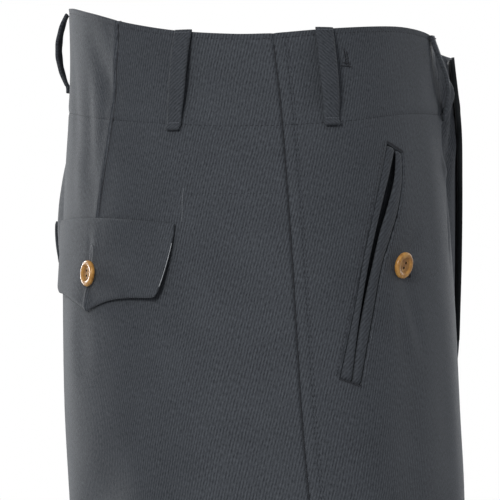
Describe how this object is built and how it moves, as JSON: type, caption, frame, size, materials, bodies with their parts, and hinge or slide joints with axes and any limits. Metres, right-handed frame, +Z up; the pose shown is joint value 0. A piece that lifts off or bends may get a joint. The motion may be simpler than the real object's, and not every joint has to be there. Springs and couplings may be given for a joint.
{
  "type": "riding jodhpurs",
  "caption": "High-waisted riding jodhpurs in slate-grey wool twill, flared at the thigh and narrow below the knee, with slanted front pockets and buttoned hip flaps",
  "frame": {"origin": "middle of the waist opening, on the centre plane, about 30 mm below the top edge at the side seams, where the wearer's waist holds the garment", "axes": "+Z up towards the waist's top edge, -Y the way the wearer faces, -X the wearer's right side"},
  "size_m": [0.5302, 0.2535, 1.0759],
  "materials": {
    "wool_twill": "matt wool whipcord, slate grey",
    "lining": "smooth dark lining cloth",
    "nut_button": "polished vegetable ivory, golden tan"
  },
  "bodies": {
    "root": {"back_right": "wool_twill", "front_right": "wool_twill", "back_left": "wool_twill", "front_left": "wool_twill", "pocket_welt_fore_right": "wool_twill", "pocket_welt_rear_right": "wool_twill", "pocket_bearer_right": "wool_twill", "pocket_welt_fore_left": "wool_twill", "pocket_welt_rear_left": "wool_twill", "pocket_bearer_left": "wool_twill", "hip_flap_right": "wool_twill", "hip_flap_left": "wool_twill", "belt_loop_front_right": "wool_twill", "belt_loop_side_front_right": "wool_twill", "belt_loop_side_back_right": "wool_twill", "belt_loop_front_left": "wool_twill", "belt_loop_side_front_left": "wool_twill", "belt_loop_side_back_left": "wool_twill", "belt_loop_centre_back": "wool_twill", "fly_facing": "lining", "fly_guard": "wool_twill", "flap_button_right": "nut_button", "front_button_right": "nut_button", "flap_button_left": "nut_button", "front_button_left": "nut_button"}
  },
  "joints": []
}
